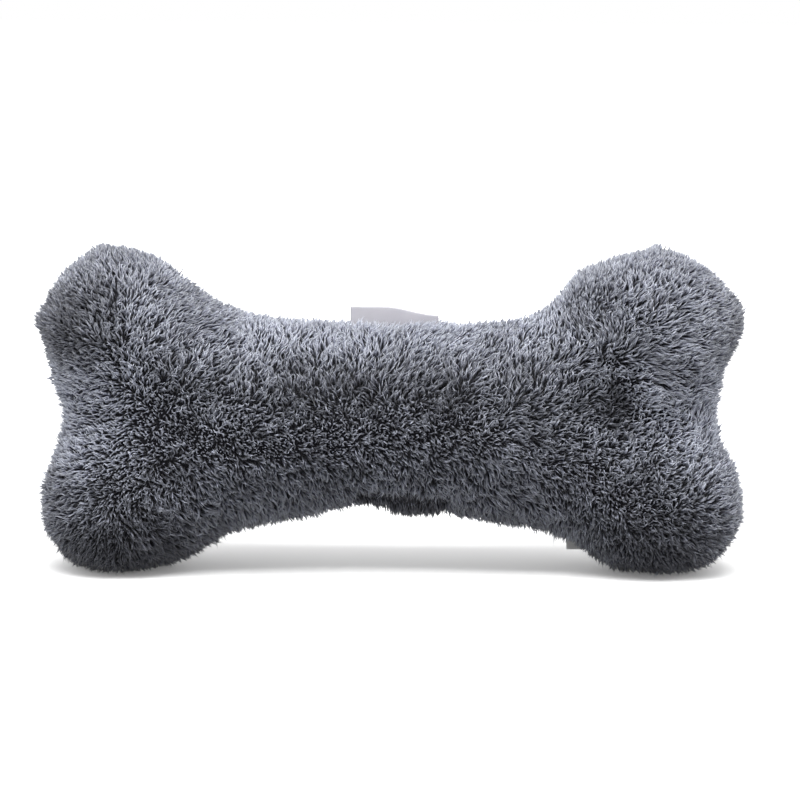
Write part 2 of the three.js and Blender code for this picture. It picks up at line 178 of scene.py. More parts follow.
# Comb strokes in the pile of the front panel: place along the bone and up, the way the tips point
# in degrees from +X towards +Z, how flat the pile lies from 0 to 1, and how far the stroke reaches
FRONT_STROKES = [
    (-0.123, 0.134, 100, 0.5, 0.014),
    (-0.142, 0.121, 140, 0.5, 0.012),
    (-0.147, 0.105, 190, 0.5, 0.012),
    (-0.134, 0.101, 150, 0.1, 0.010),
    (-0.128, 0.112, 105, 0.6, 0.010),
    (-0.122, 0.095, 120, 0.7, 0.012),
    (-0.112, 0.092, 90, 0.7, 0.011),
    (-0.100, 0.098, 62, 0.7, 0.013),
    (-0.104, 0.121, 80, 0.6, 0.012),
    (-0.090, 0.115, 20, 0.7, 0.012),
    (-0.079, 0.105, 32, 0.8, 0.013),
    (-0.074, 0.084, 55, 0.6, 0.013),
    (-0.126, 0.078, 170, 0.2, 0.011),
    (-0.137, 0.071, 65, 0.8, 0.010),
    (-0.122, 0.061, 200, 0.1, 0.014),
    (-0.092, 0.066, 60, 0.1, 0.014),
    (-0.140, 0.050, 110, 0.6, 0.012),
    (-0.143, 0.036, 175, 0.5, 0.010),
    (-0.127, 0.034, 250, 0.2, 0.013),
    (-0.108, 0.044, 200, 0.1, 0.012),
    (-0.098, 0.033, 350, 0.7, 0.014),
    (-0.118, 0.016, 240, 0.3, 0.012),
    (-0.098, 0.014, 340, 0.6, 0.012),
    (-0.081, 0.027, 320, 0.7, 0.012),
    (-0.062, 0.110, 80, 0.7, 0.013),
    (-0.052, 0.096, 75, 0.6, 0.012),
    (-0.047, 0.079, 65, 0.4, 0.014),
    (-0.028, 0.100, 85, 0.6, 0.012),
    (-0.034, 0.088, 135, 0.8, 0.008),
    (-0.018, 0.091, 100, 0.7, 0.009),
    (-0.020, 0.076, 160, 0.5, 0.010),
    (-0.034, 0.066, 140, 0.2, 0.012),
    (-0.054, 0.060, 55, 0.2, 0.013),
    (-0.064, 0.046, 330, 0.3, 0.012),
    (-0.058, 0.032, 300, 0.8, 0.012),
    (-0.038, 0.031, 285, 0.6, 0.012),
    (-0.032, 0.048, 0, 0.8, 0.010),
    (-0.012, 0.041, 335, 0.7, 0.011),
    (-0.010, 0.058, 30, 0.1, 0.014),
    (0.006, 0.046, 250, 0.3, 0.010),
    (-0.002, 0.072, 95, 0.2, 0.012),
    (0.004, 0.086, 60, 0.6, 0.010),
    (0.012, 0.100, 60, 0.7, 0.012),
    (0.022, 0.089, 25, 0.8, 0.012),
    (0.020, 0.072, 75, 0.3, 0.011),
    (0.036, 0.080, 30, 0.8, 0.011),
    (0.044, 0.097, 75, 0.7, 0.013),
    (0.046, 0.072, 55, 0.5, 0.012),
    (0.020, 0.055, 340, 0.4, 0.010),
    (0.034, 0.038, 300, 0.8, 0.012),
    (0.050, 0.060, 30, 0.7, 0.012),
    (0.051, 0.044, 315, 0.7, 0.012),
    (0.066, 0.058, 45, 0.6, 0.012),
    (0.067, 0.040, 320, 0.8, 0.012),
    (0.072, 0.023, 300, 0.7, 0.010),
    (0.070, 0.092, 60, 0.6, 0.012),
    (0.080, 0.112, 65, 0.6, 0.012),
    (0.096, 0.127, 75, 0.6, 0.012),
    (0.112, 0.136, 95, 0.5, 0.010),
    (0.104, 0.118, 55, 0.6, 0.010),
    (0.119, 0.119, 15, 0.8, 0.011),
    (0.124, 0.106, 355, 0.8, 0.010),
    (0.138, 0.120, 35, 0.6, 0.011),
    (0.148, 0.107, 0, 0.5, 0.010),
    (0.137, 0.096, 30, 0.6, 0.010),
    (0.109, 0.098, 35, 0.9, 0.011),
    (0.088, 0.094, 50, 0.9, 0.011),
    (0.083, 0.084, 25, 0.7, 0.010),
    (0.097, 0.079, 110, 0.0, 0.006),
    (0.105, 0.085, 350, 0.9, 0.005),
    (0.112, 0.080, 335, 1.0, 0.005),
    (0.133, 0.082, 50, 0.7, 0.011),
    (0.137, 0.066, 95, 0.8, 0.010),
    (0.112, 0.060, 15, 0.5, 0.012),
    (0.088, 0.058, 20, 0.6, 0.012),
    (0.090, 0.040, 350, 0.6, 0.012),
    (0.112, 0.044, 60, 0.4, 0.012),
    (0.136, 0.048, 80, 0.7, 0.012),
    (0.146, 0.034, 20, 0.4, 0.010),
    (0.128, 0.030, 40, 0.3, 0.013),
    (0.106, 0.024, 30, 0.4, 0.012),
    (0.090, 0.020, 310, 0.6, 0.011),
    (0.122, 0.012, 320, 0.3, 0.012),
    (0.142, 0.018, 350, 0.4, 0.010),
]
# The back panel's, by the same rules
BACK_STROKES = [
    (-0.130, 0.120, 120, 0.6, 0.020),
    (-0.115, 0.100, 70, 0.4, 0.018),
    (-0.085, 0.105, 30, 0.7, 0.020),
    (-0.135, 0.070, 200, 0.5, 0.018),
    (-0.108, 0.060, 20, 0.5, 0.018),
    (-0.130, 0.030, 230, 0.5, 0.018),
    (-0.100, 0.025, 330, 0.6, 0.018),
    (-0.060, 0.090, 80, 0.6, 0.020),
    (-0.060, 0.050, 300, 0.5, 0.020),
    (-0.025, 0.072, 20, 0.5, 0.018),
    (-0.015, 0.100, 70, 0.7, 0.018),
    (-0.015, 0.045, 280, 0.7, 0.018),
    (0.020, 0.085, 35, 0.7, 0.020),
    (0.030, 0.055, 330, 0.3, 0.018),
    (0.060, 0.095, 60, 0.6, 0.020),
    (0.060, 0.045, 320, 0.6, 0.020),
    (0.095, 0.110, 50, 0.6, 0.020),
    (0.125, 0.120, 100, 0.5, 0.018),
    (0.135, 0.095, 350, 0.6, 0.018),
    (0.105, 0.075, 20, 0.2, 0.018),
    (0.135, 0.060, 80, 0.6, 0.016),
    (0.095, 0.035, 340, 0.6, 0.018),
    (0.130, 0.030, 40, 0.4, 0.018),
    (0.115, 0.012, 290, 0.5, 0.016),
]
# Weight that a stroke has however far away it is
FAINTEST_STROKE = 1e-6

# Lumps of the stuffing: the share of their height left at the rim, and how deep a dent may go
RIM_LUMPS = 0.4
DEEPEST_DENT = 0.0008

# Places where the toy stands fuller, or is dented: place along the bone and up, by how much, and how
# far that reaches. The stuffing gives a share of it, and longer or shorter pile the rest.
BULGE_SHARE = 0.7
PILE_SWELLS = [
    (-0.088, 0.007, 0.0020, 0.006),
    (-0.078, 0.011, 0.0026, 0.006),
    (-0.062, 0.020, 0.0028, 0.010),
    (-0.047, 0.022, 0.0026, 0.009),
    (-0.034, 0.024, 0.0022, 0.007),
    (-0.018, 0.026, -0.0012, 0.006),
    (-0.008, 0.026, -0.0006, 0.004),
    (0.004, 0.025, 0.0044, 0.005),
    (0.015, 0.025, 0.0044, 0.006),
    (0.030, 0.024, 0.0014, 0.008),
    (0.047, 0.022, 0.0026, 0.010),
    (0.063, 0.018, 0.0024, 0.008),
    (-0.012, 0.106, 0.0014, 0.005),
    (0.003, 0.106, 0.0014, 0.006),
    (0.017, 0.106, 0.0014, 0.005),
    (0.047, 0.111, -0.0076, 0.010),
    (0.080, 0.123, 0.0030, 0.005),
    (0.141, 0.124, -0.0018, 0.006),
    (0.150, 0.117, 0.0006, 0.004),
    (0.145, 0.090, -0.0020, 0.006),
    (0.143, 0.056, -0.0024, 0.006),
    (0.148, 0.018, 0.0018, 0.010),
    (-0.120, 0.138, -0.0016, 0.022),
    (-0.149, 0.120, -0.0024, 0.006),
    (-0.149, 0.091, -0.0026, 0.006),
    (0.030, 0.106, -0.0014, 0.008),
    (0.063, 0.116, -0.0006, 0.006),
    (0.021, 0.026, -0.0014, 0.005),
    (0.083, 0.009, -0.0036, 0.005),
    (0.096, 0.0745, -0.0032, 0.006),
    (0.106, 0.079, 0.0018, 0.005),
    (-0.060, 0.113, -0.0026, 0.010),
    (-0.030, 0.108, 0.0010, 0.008),
    (-0.090, 0.130, -0.0030, 0.008),
    (-0.108, 0.138, -0.0028, 0.008),
    (-0.124, 0.139, 0.0034, 0.004),
    (-0.137, 0.132, -0.0036, 0.008),
    (-0.152, 0.107, 0.0026, 0.004),
    (0.102, 0.137, -0.0028, 0.010),
    (0.112, 0.140, 0.0030, 0.003),
    (0.132, 0.133, -0.0046, 0.010),
    (0.151, 0.108, 0.0018, 0.008),
    (0.139, 0.066, 0.0024, 0.010),
]

# Patches of the pile painted paler or darker, mostly painted light and shade: painted light on the top
# of the shaft, in the notches at both ends and on a lump at the right waist, painted shade below the
# shaft's top, on the upper left knuckle, at the feet by the floor and in a dent at the right waist; the
# rest is tone that differs from place to place. Each gives its place along the bone and up, by how
# much, and how far it reaches
PILE_TONE_AND_PAINTED_LIGHT = [
    (-0.136, 0.074, 0.46, 0.014),
    (0.137, 0.066, 0.45, 0.016),
    (-0.088, 0.116, 0.18, 0.018),
    (0.122, 0.118, 0.25, 0.020),
    (-0.050, 0.104, 0.44, 0.012),
    (-0.015, 0.105, 0.46, 0.012),
    (0.020, 0.105, 0.46, 0.012),
    (0.056, 0.104, 0.40, 0.012),
    (-0.136, 0.104, -0.60, 0.011),
    (-0.118, 0.094, -0.04, 0.010),
    (0.0950, 0.0740, -0.95, 0.0055),
    (0.1045, 0.0805, 0.80, 0.0045),
    (0.010, 0.062, 0.08, 0.016),
    (-0.122, 0.068, 0.72, 0.014),
    (0.120, 0.069, 0.55, 0.012),
    (0.112, 0.034, -0.18, 0.016),
    (-0.042, 0.083, -0.46, 0.010),
    (-0.012, 0.083, -0.44, 0.010),
    (0.019, 0.084, -0.48, 0.010),
    (0.050, 0.085, -0.42, 0.010),
    (-0.126, 0.121, -0.18, 0.016),
    (0.100, 0.116, -0.08, 0.016),
    (-0.035, 0.032, 0.04, 0.012),
    (0.035, 0.032, 0.04, 0.012),
    (0.146, 0.108, -0.16, 0.010),
    (-0.132, 0.006, -0.60, 0.013),
    (-0.114, 0.005, -0.65, 0.013),
    (-0.096, 0.008, -0.55, 0.012),
    (0.096, 0.006, -0.35, 0.012),
    (0.114, 0.005, -0.35, 0.012),
    (0.132, 0.007, -0.35, 0.012),
]

# The pile lies flatter high up than low down: the heights between which that changes, and the share
# of its lay that is left below
LOW_PILE_TOP = 0.050
HIGH_PILE_START = 0.092
LOW_LAY = 0.55

# Along the seam the pile stands up, and is a little shorter: how far that reaches, and by what shares
RIM_HALF_DEPTH = 0.010
RIM_RISE = 0.45
RIM_TRIM = 0.16

# Ridge where the stuffing opening is sewn shut: its ends along the bone, the crease in front of it,
# how wide both are, how dark they are painted as shade, and how much the pile stands up and is shorter
# there
CLOSING_START = -0.0170
CLOSING_END = 0.027
CLOSING_FADE = 0.005
RIDGE_PLACE = -0.006
RIDGE_HALF_DEPTH = 0.0100
CREASE_PLACE = -0.0175
CREASE_HALF_DEPTH = 0.0030
CREASE_PULL = 0.0030
CLOSING_PAINTED_SHADE = -0.85
RIDGE_RISE = 0.6
RIDGE_TRIM = 0.25
CREASE_TRIM = 0.45

# Both ribbons: how thick, how wide their fold, and how far round their solids no fibre grows
SATIN_THICKNESS = 0.0003
TAPE_THICKNESS = 0.0002
SATIN_FOLD = 0.0009
TAPE_FOLD = 0.0006
FOLD_STEPS = 8
RIBBON_CLEARANCE = 0.0004
RIBBON_CLEARANCE_UP = 0.002

# Top label: its right half stands lower, between these places along the bone; its left end stands
# taller; it waves and leans a little, and bends from this height up
LABEL_DROP = 0.0036
LABEL_SLOPE_START = -0.0045
LABEL_SLOPE_END = 0.0205
LABEL_EXTRA_HEIGHT = 0.0012
LABEL_WAVE = 0.0004
LABEL_WAVE_RATE = 240
LABEL_WAVE_PHASE = 0.6
LABEL_LEAN = 0.0006
LABEL_STEPS_ACROSS = 40
LABEL_STEPS_UP = 14

# Care tag: its width, how much of its length is held in the seam and how much shows, how far the
# seam slopes there, how far it is sewn in askew, how far its end curls forward and how deep it sits
TAG_WIDTH = 0.0101
TAG_HELD = 0.0043
TAG_SHOWN = 0.0008
TAG_SLOPE = math.radians(37)
TAG_SKEW = math.radians(-37)
TAG_CURL = -0.0018
TAG_SUNK = 0.0022
TAG_STEPS_ACROSS = 16
TAG_STEPS_UP = 8

# Stuffing: cells of its surface, passes that soften it, and how far it is drawn in
STUFFING_CELL = 0.0025
STUFFING_SOFTENING = 6
STUFFING_SHRINK = 0.0009

# Squeaker's bellows: its outline from the front pole round to the neck, as shares of its radius
# and of half its depth; then its wall, its neck, and how many sides it has
BULB_OUTLINE_SHARES = [
    (0.0, 1.0), (0.22, 0.99), (0.42, 0.95), (0.62, 0.86), (0.78, 0.73), (0.92, 0.55), (1.0, 0.36),
    (0.97, 0.2), (0.87, 0.08), (0.84, 0.0), (0.87, -0.08), (0.97, -0.2), (1.0, -0.36), (0.92, -0.55),
    (0.78, -0.73), (0.62, -0.86), (0.42, -0.95),
]
BULB_HALF_DEPTH = 0.013
BULB_WALL = 0.0012
BULB_SIDES = 72
NECK_RADIUS = 0.007
NECK_START_SHARE = 0.9

# Floor and background: the paper glows white beyond the shadow's reach, and looks as pale as paper
# to the camera, while it throws less light back onto the toy
FLOOR_SIZE = 6.0
SHADOW_REACH = 0.22
SHADOW_END = 3 * SHADOW_REACH
PAPER_GLOW = 0.15
PAPER_SEEN = 1.0
PAPER_BOUNCE = 0.25
SKY_LEVEL = 0.32
SKY_TOP = 0.95

# Lamps: where each stands, how wide and high it is, and its power in watts
LAMP_AIM = (0, 0, 0.07)
LAMPS = {
    "overhead": ((0.0, -0.50, 1.15), (1.2, 0.65), 17),
    "left": ((-1.3, -0.3, 0.6), (0.8, 0.8), 4.5),
    "right": ((1.3, -0.3, 0.6), (0.8, 0.8), 3.5),
    "back": ((0.0, 1.5, 0.55), (1.6, 0.6), 7),
}

# Camera: the width is that of the frame where the camera aims
CAMERA_DISTANCE = 1.6
CAMERA_ELEVATION = math.radians(8)
CAMERA_ROLL = math.radians(0.38)
CAMERA_AIM = (0.0039, 0.0, 0.0735)
FRAME_WIDTH = 0.3429
SENSOR_WIDTH = 36
VIEW_END = 20


# Skin


def ellipsoid_distance(p, half):
    """About how far points lie from an ellipsoid round the origin, negative inside it."""
    scaled = p / half
    near = np.linalg.norm(scaled, axis=-1)
    slope = np.linalg.norm(scaled / half, axis=-1)
    return near * (near - 1) / np.maximum(slope, TINY)


def knuckle_distance(p, centre_x, centre_z, half_width, half_height):
    centre = (centre_x, 0, centre_z)
    return ellipsoid_distance(p - centre, (half_width, KNUCKLE_HALF_DEPTH, half_height))


def skin_distance(p):
    """About how far points lie from the toy's skin, negative inside it."""
    shaft = p - (SHAFT_WAIST_PLACE, 0, SHAFT_CENTRE_HEIGHT)
    shaft[..., 0] = np.maximum(np.abs(shaft[..., 0]) - SHAFT_STRAIGHT_HALF, 0)
    forms = [ellipsoid_distance(shaft, (SHAFT_HALF_HEIGHT, SHAFT_HALF_DEPTH, SHAFT_HALF_HEIGHT))]
    forms += [knuckle_distance(p, *knuckle) for knuckle in KNUCKLES]
    forms = np.stack(forms)
    nearest = forms.min(0)
    blended = nearest - BLEND_REACH * np.log(np.exp((nearest - forms) / BLEND_REACH).sum(0))
    under_floor = -(p[..., 2] + FOOT_CUT)
    most = np.maximum(blended, under_floor)
    press = np.exp((blended - most) / PRESS_REACH) + np.exp((under_floor - most) / PRESS_REACH)
    return most + PRESS_REACH * np.log(press)


def skin_slope(p):
    steps = np.eye(3) * SLOPE_STEP
    ways = [skin_distance(p + step) - skin_distance(p - step) for step in steps]
    return np.stack(ways, -1) / (2 * SLOPE_STEP)


def unit(v):
    return v / np.maximum(np.linalg.norm(v, axis=-1, keepdims=True), TINY)


def settle_on_skin(p):
    """Moves points onto the skin along its slope."""
    for _ in range(SETTLING_PASSES):
        slope = skin_slope(p)
        p = p - slope * (skin_distance(p) / (slope**2).sum(-1))[..., None]
    return p


def skin_mesh(cell):
    """The closed skin as points and four-sided faces, one point in each grid cell that it crosses."""
    low = toy_low - GRID_MARGIN * cell
    counts = np.ceil((toy_high - toy_low) / cell).astype(int) + 2 * GRID_MARGIN + 1
    axes = [low[k] + cell * np.arange(counts[k]) for k in range(3)]
    value = skin_distance(np.stack(np.meshgrid(*axes, indexing="ij"), -1))
    quads = []
    for axis in range(3):
        u, v = np.eye(3, dtype=int)[[(axis + 1) % 3, (axis + 2) % 3]]
        at = np.argwhere((value < 0) != (np.roll(value, -1, axis) < 0))
        around = np.stack([at, at - u, at - u - v, at - v], 1)
        outside = value[tuple(at.T)] >= 0
        around[outside] = around[outside][:, ::-1]
        quads.append(np.ravel_multi_index(tuple(np.moveaxis(around, -1, 0)), counts))
    cells, faces = np.unique(np.concatenate(quads), return_inverse=True)
    centres = low + cell * (np.stack(np.unravel_index(cells, counts), 1) + 0.5)
    return settle_on_skin(centres), faces.reshape(-1, 4)


def new_object(name, mesh, material, body="toy"):
    piece = bpy.data.objects.new(name, mesh)
    bpy.context.scene.collection.objects.link(piece)
    mesh.materials.append(material)
    if body:
        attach(piece, body)
    return piece


# Materials


def new_material(name, roughness, specular=0.5):
    material = bpy.data.materials.new(name)
    material.use_nodes = True
    shader = material.node_tree.nodes["Principled BSDF"]
    shader.inputs["Roughness"].default_value = roughness
    shader.inputs["Specular IOR Level"].default_value = specular
    return material, material.node_tree, shader


def add_node(tree, kind, **settings):
    node = tree.nodes.new(kind)
    for key, value in settings.items():
        if key in node.inputs:
            node.inputs[key].default_value = value
        else:
            setattr(node, key, value)
    return node


def add_ramp(tree, source, stops):
    ramp = tree.nodes.new("ShaderNodeValToRGB")
    elements = ramp.color_ramp.elements
    while len(elements) < len(stops):
        elements.new(0.5)
    for element, (place, colour) in zip(elements, stops):
        element.position = place
        element.color = (*colour, 1)
    tree.links.new(source, ramp.inputs[0])
    return ramp.outputs["Color"]


def multiply_colours(tree, first, second):
    mix = tree.nodes.new("ShaderNodeMix")
    mix.data_type = "RGBA"
    mix.blend_type = "MULTIPLY"
    mix.inputs["Factor"].default_value = 1
    tree.links.new(first, mix.inputs["A"])
    tree.links.new(second, mix.inputs["B"])
    return mix.outputs["Result"]


def add_texture(tree, kind, **settings):
    """A procedural texture, laid out in the object's own coordinates."""
    texture = add_node(tree, kind, **settings)
    coordinates = tree.nodes.new("ShaderNodeTexCoord")
    tree.links.new(coordinates.outputs["Object"], texture.inputs["Vector"])
    return texture.outputs["Fac"]


def add_bump(tree, shader, height, strength, distance):
    bump = tree.nodes.new("ShaderNodeBump")
    bump.inputs["Strength"].default_value = strength
    bump.inputs["Distance"].default_value = distance
    tree.links.new(height, bump.inputs["Height"])
    tree.links.new(bump.outputs["Normal"], shader.inputs["Normal"])


def pile_material():
    """Dark roots, painted shade among the fibres, and pale tips that are partly painted light. Across
    the map runs a lock's tone, and up it the way along a fibre.
    """
    material, tree, shader = new_material("pile_fibre", roughness=0.55)
    uv = add_node(tree, "ShaderNodeUVMap", uv_map="OFBake")
    split = tree.nodes.new("ShaderNodeSeparateXYZ")
    tree.links.new(uv.outputs["UV"], split.inputs[0])
    # Colour from root to tip: near black at the root as painted shade, paler towards the tip, partly as
    # painted light
    along = add_ramp(tree, split.outputs["Y"], [
        (0.0, (0.012, 0.012, 0.016)),
        (0.3, (0.066, 0.070, 0.094)),
        (0.6, (0.262, 0.275, 0.345)),
        (1.0, (0.500, 0.522, 0.582)),
    ])
    tone = add_ramp(tree, split.outputs["X"], [
        (0.0, (0.22, 0.22, 0.23)),
        (1.0, (1.55, 1.55, 1.53)),
    ])
    tree.links.new(multiply_colours(tree, along, tone), shader.inputs["Base Color"])
    shader.inputs["Sheen Weight"].default_value = 0.25
    shader.inputs["Sheen Roughness"].default_value = 0.4
    return material


def backing_material():
    """Knitted ground of the pile, with fine ribs, coloured near black as painted shade in the gaps
    between the locks.
    """
    material, tree, shader = new_material("knit_backing", roughness=0.9, specular=0.3)
    ribs = add_texture(tree, "ShaderNodeTexWave", bands_direction="X", Scale=260.0, Distortion=1.5)
    # Near-black colour: painted shade that shows through the gaps of the pile; the ribs are the knit's
    # own
    colour = add_ramp(tree, ribs, [(0.0, (0.008, 0.008, 0.011)), (1.0, (0.030, 0.030, 0.038))])
    tree.links.new(colour, shader.inputs["Base Color"])
    add_bump(tree, shader, ribs, strength=0.6, distance=0.0003)
    return material


def satin_material(name, dark, pale, roughness):
    """Ribbon of fine lengthwise threads, with a soft change of shade across it."""
    material, tree, shader = new_material(name, roughness)
    threads = add_texture(tree, "ShaderNodeTexWave", bands_direction="X", Scale=900.0, Distortion=0.6)
    shade = add_texture(tree, "ShaderNodeTexNoise", Scale=70.0, Detail=2.0)
    colour = add_ramp(tree, shade, [(0.3, dark), (0.7, pale)])
    lines = add_ramp(tree, threads, [(0.0, (0.93, 0.93, 0.93)), (1.0, (1.0, 1.0, 1.0))])
    tree.links.new(multiply_colours(tree, colour, lines), shader.inputs["Base Color"])
    add_bump(tree, shader, threads, strength=0.25, distance=0.00005)
    return material


def fibre_fill_material():
    """White crimped polyester fibre."""
    material, tree, shader = new_material("stuffing_fibre", roughness=0.95, specular=0.3)
    tangle = add_texture(tree, "ShaderNodeTexNoise", Scale=420.0, Detail=6.0, Distortion=1.2)
    colour = add_ramp(tree, tangle, [(0.3, (0.62, 0.62, 0.60)), (0.65, (0.88, 0.88, 0.86))])
    tree.links.new(colour, shader.inputs["Base Color"])
    add_bump(tree, shader, tangle, strength=0.8, distance=0.001)
    return material


def thread_material():
    """Twisted sewing thread."""
    material, tree, shader = new_material("twisted_thread", roughness=0.75, specular=0.4)
    twist = add_texture(tree, "ShaderNodeTexWave", bands_direction="DIAGONAL", Scale=700.0)
    colour = add_ramp(tree, twist, [(0.0, (0.02, 0.02, 0.026)), (1.0, (0.09, 0.09, 0.11))])
    tree.links.new(colour, shader.inputs["Base Color"])
    add_bump(tree, shader, twist, strength=0.5, distance=0.0001)
    return material


def moulded_material(name, dark, pale, roughness, scale):
    """Moulded plastic or rolled strip with a faint mottle."""
    material, tree, shader = new_material(name, roughness)
    mottle = add_texture(tree, "ShaderNodeTexNoise", Scale=scale, Detail=4.0)
    colour = add_ramp(tree, mottle, [(0.3, dark), (0.7, pale)])
    tree.links.new(colour, shader.inputs["Base Color"])
    add_bump(tree, shader, mottle, strength=0.15, distance=0.0002)
    return material


# Backing panels


def build_backing(name, node, side, material):
    """One knitted panel: the skin sunk by the pile's depth, cut at the seam, with its hem turned in."""
    points, faces = skin_mesh(BACKING_CELL)
    normals = unit(skin_slope(points))
    points = points + normals * (bulge(points, normals) - PILE_DEPTH)[:, None]
    mesh = bpy.data.meshes.new(name)
    mesh.from_pydata(points.tolist(), [], faces.tolist())
    panel = bmesh.new()
    panel.from_mesh(mesh)
    cut = Vector((0, side * SEAM_GAP / 2, 0))
    all_parts = panel.verts[:] + panel.edges[:] + panel.faces[:]
    outward = (0, side, 0)
    bmesh.ops.bisect_plane(panel, geom=all_parts, plane_co=cut, plane_no=outward, clear_inner=True)
    rim = [edge for edge in panel.edges if edge.is_boundary]
    turned = bmesh.ops.extrude_edge_only(panel, edges=rim)["geom"]
    for vertex in (part for part in turned if isinstance(part, bmesh.types.BMVert)):
        place = np.array(vertex.co)
        inward = -unit(skin_slope(place[None]))[0] * HEM_DEPTH
        apart = side * HEM_SPREAD * (abs(place[0]) < HEM_SPREAD_HALF_WIDTH)
        vertex.co += Vector((inward[0], apart, inward[2]))
    bmesh.ops.recalc_face_normals(panel, faces=panel.faces[:])
    panel.to_mesh(mesh)
    panel.free()
    mesh.shade_smooth()
    piece = new_object(name, mesh, material)
    solidify = piece.modifiers.new("thickness", "SOLIDIFY")
    solidify.thickness = BACKING_THICKNESS
    solidify.offset = -1
    apply_modifiers(piece)
    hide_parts(node)


def apply_modifiers(piece):
    graph = bpy.context.evaluated_depsgraph_get()
    finished = bpy.data.meshes.new_from_object(piece.evaluated_get(graph))
    old = piece.data
    piece.modifiers.clear()
    piece.data = finished
    bpy.data.meshes.remove(old)


# Pile


def spread_points(rng, spacing):
    """Points on the skin, spread at random but none nearer another than the spacing."""
    reach = SEARCH_REACH * spacing
    volume = np.prod(toy_high - toy_low + 2 * reach)
    tries = int(volume / spacing**3 * TRIES_PER_PLACE)
    found = rng.uniform(toy_low - reach, toy_high + reach, (tries, 3))
    found = found[np.abs(skin_distance(found)) < reach]
    found = settle_on_skin(found)
    tree = kdtree.KDTree(len(found))
    for index, place in enumerate(found.tolist()):
        tree.insert(place, index)
    tree.balance()
    open_places = np.ones(len(found), bool)
    kept = []
    for index, place in enumerate(found.tolist()):
        if open_places[index]:
            kept.append(index)
            for _, near, _ in tree.find_range(place, spacing):
                open_places[near] = False
    kept = np.array(kept)
    return found[kept[rng.uniform(0, 1, len(kept)) < LOCKS_KEPT]]


def soft_noise(points, name):
    """One of the soft noises, as far above 0 as below it."""
    amount, size, place = NOISES[name]
    shift = Vector((place, 0, 0))
    return amount * np.array([noise.noise(Vector(p) / size + shift) for p in points.tolist()])


def comb(points, normals, strokes):
    """The way that the tips point, along the skin, and how flat the pile lies."""
    strokes = np.array(strokes)
    apart = points[:, None, [0, 2]] - strokes[None, :, :2]
    weight = np.exp(-(apart**2).sum(-1) / (2 * strokes[:, 4] ** 2)) + FAINTEST_STROKE
    weight /= weight.sum(1, keepdims=True)
    angle = np.radians(strokes[:, 2])
    way = np.zeros_like(points)
    way[:, 0] = weight @ np.cos(angle)
    way[:, 2] = weight @ np.sin(angle)
    lay = weight @ strokes[:, 3]
    way -= normals * (way * normals).sum(1, keepdims=True)
    return unit(way), lay


def turn_about(way, normals, angle):
    """Turns directions that lie along the skin by an angle each."""
    return way * np.cos(angle)[:, None] + np.cross(normals, way) * np.sin(angle)[:, None]


def closing_zones(points):
    """How much each point lies on the ridge of the closed opening and in its crease, from 0 to 1."""
    along = np.clip((points[:, 0] - CLOSING_START) / CLOSING_FADE, 0, 1)
    along *= np.clip((CLOSING_END - points[:, 0]) / CLOSING_FADE, 0, 1)
    along *= points[:, 2] < SHAFT_CENTRE_HEIGHT
    ridge = along * np.exp(-(((points[:, 1] - RIDGE_PLACE) / RIDGE_HALF_DEPTH) ** 4))
    crease = along * np.exp(-(((points[:, 1] - CREASE_PLACE) / CREASE_HALF_DEPTH) ** 2))
    return ridge, crease


def at_places(points, places):
    """What a table of places adds up to at each point: each row says where, how much and how far."""
    places = np.array(places)
    apart = points[:, None, [0, 2]] - places[None, :, :2]
    return (places[:, 2] * np.exp(-(apart**2).sum(-1) / (2 * places[:, 3] ** 2))).sum(1)


def bulge(points, normals):
    """How far the stuffing bulges or dents the skin, most on the two faces."""
    facing = RIM_LUMPS + (1 - RIM_LUMPS) * normals[:, 1] ** 2
    lumps = facing * soft_noise(points, "lumps") + soft_noise(points, "small lumps")
    ridge, _ = closing_zones(points)
    lumps += ridge * soft_noise(points, "ridge lumps")
    return np.maximum(lumps + BULGE_SHARE * at_places(points, PILE_SWELLS), -DEEPEST_DENT)


